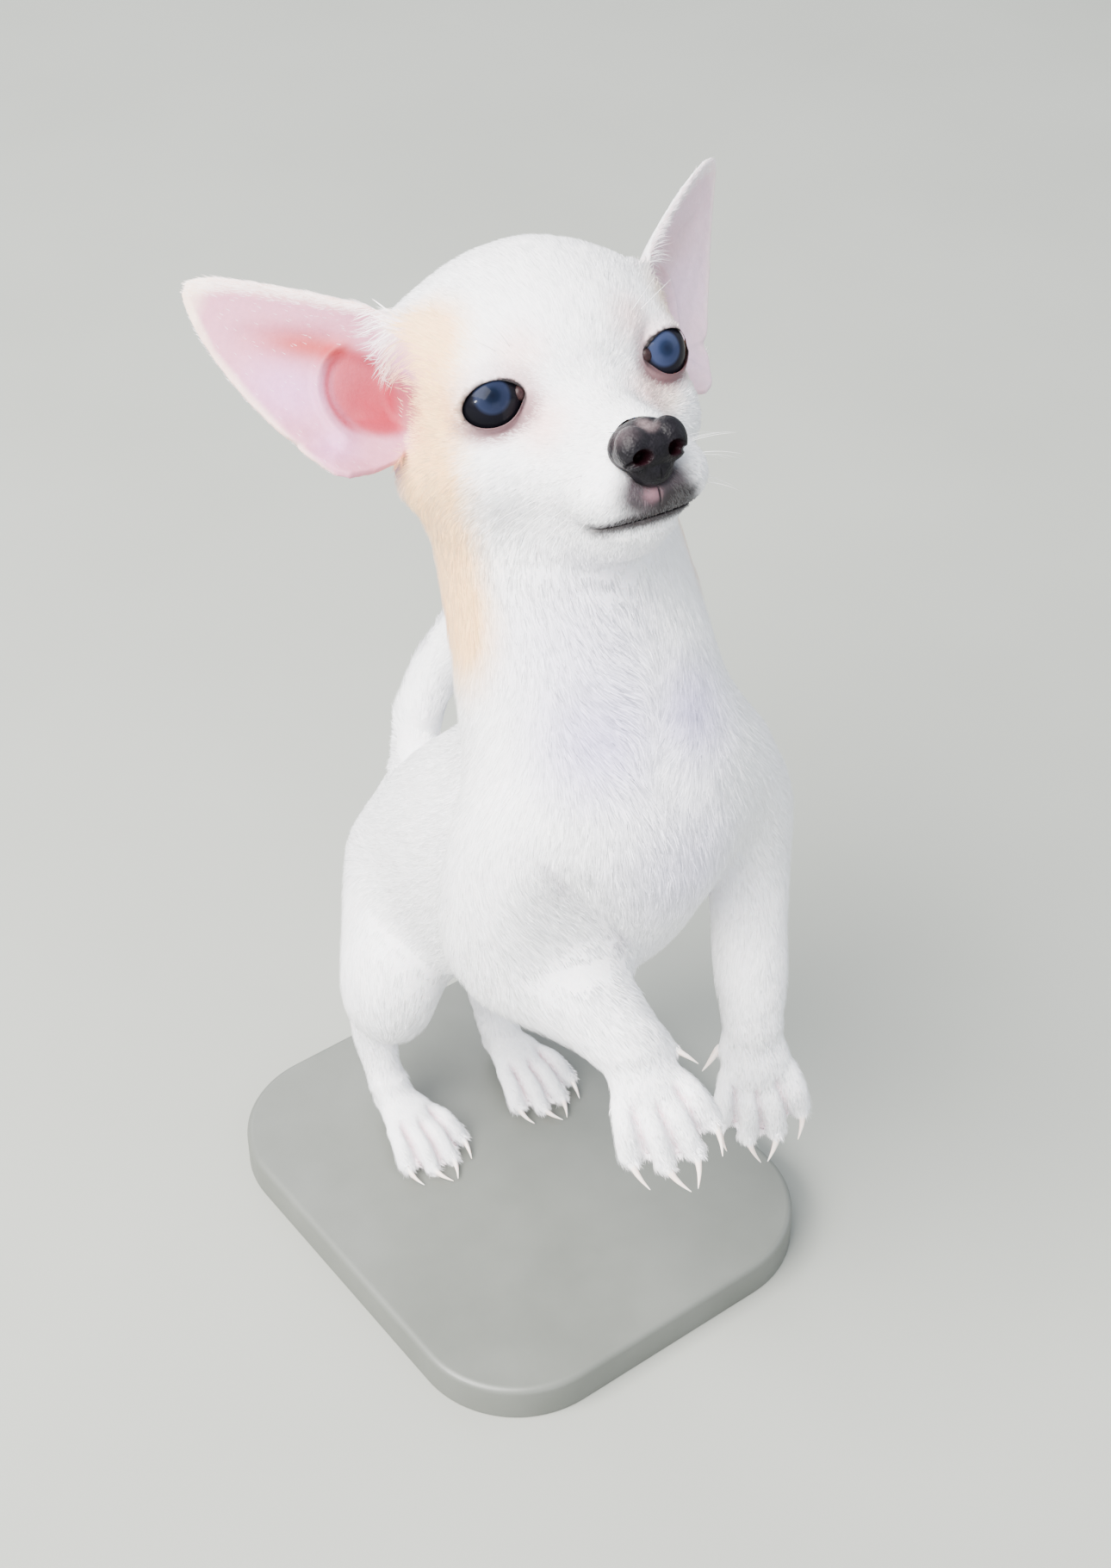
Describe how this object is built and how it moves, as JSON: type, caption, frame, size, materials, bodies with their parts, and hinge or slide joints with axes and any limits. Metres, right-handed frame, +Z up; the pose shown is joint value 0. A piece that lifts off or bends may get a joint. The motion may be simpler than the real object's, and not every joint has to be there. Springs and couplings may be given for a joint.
{
  "type": "chihuahua puppy model",
  "caption": "White smooth-coated chihuahua puppy rearing on its hind legs, forepaws in the air, face turned up, on a plain flat display base.",
  "frame": {"origin": "centre of the display base's underside", "axes": "+Z up, -Y the way the dog faces, +X the dog's own left"},
  "size_m": [0.128, 0.1507, 0.259],
  "materials": {
    "coat": "short smooth white coat with a cream patch on the right cheek",
    "ear": "thin pink skin inside, short white coat outside",
    "eye": "wet gloss, near black",
    "nose": "satin charcoal leather",
    "claw": "pale satin horn",
    "base": "satin dark paint"
  },
  "bodies": {
    "root": {"claw_fore_left_1": "claw", "claw_fore_left_2": "claw", "claw_fore_left_3": "claw", "claw_fore_left_4": "claw", "claw_fore_left_5": "claw", "claw_fore_right_1": "claw", "claw_fore_right_2": "claw", "claw_fore_right_3": "claw", "claw_fore_right_4": "claw", "claw_fore_right_5": "claw", "claw_hind_left_2": "claw", "claw_hind_left_3": "claw", "claw_hind_left_4": "claw", "claw_hind_left_5": "claw", "claw_hind_right_2": "claw", "claw_hind_right_3": "claw", "claw_hind_right_4": "claw", "claw_hind_right_5": "claw", "ear_left": "ear", "ear_right": "ear", "eye_left": "eye", "eye_right": "eye", "foreleg_left": "coat", "foreleg_right": "coat", "forepaw_left": "coat", "forepaw_right": "coat", "head": "coat", "hindleg_left": "coat", "hindleg_right": "coat", "hindpaw_left": "coat", "hindpaw_right": "coat", "neck": "coat", "nose": "nose", "stand_base": "base", "tail": "coat", "torso": "coat"}
  },
  "joints": []
}
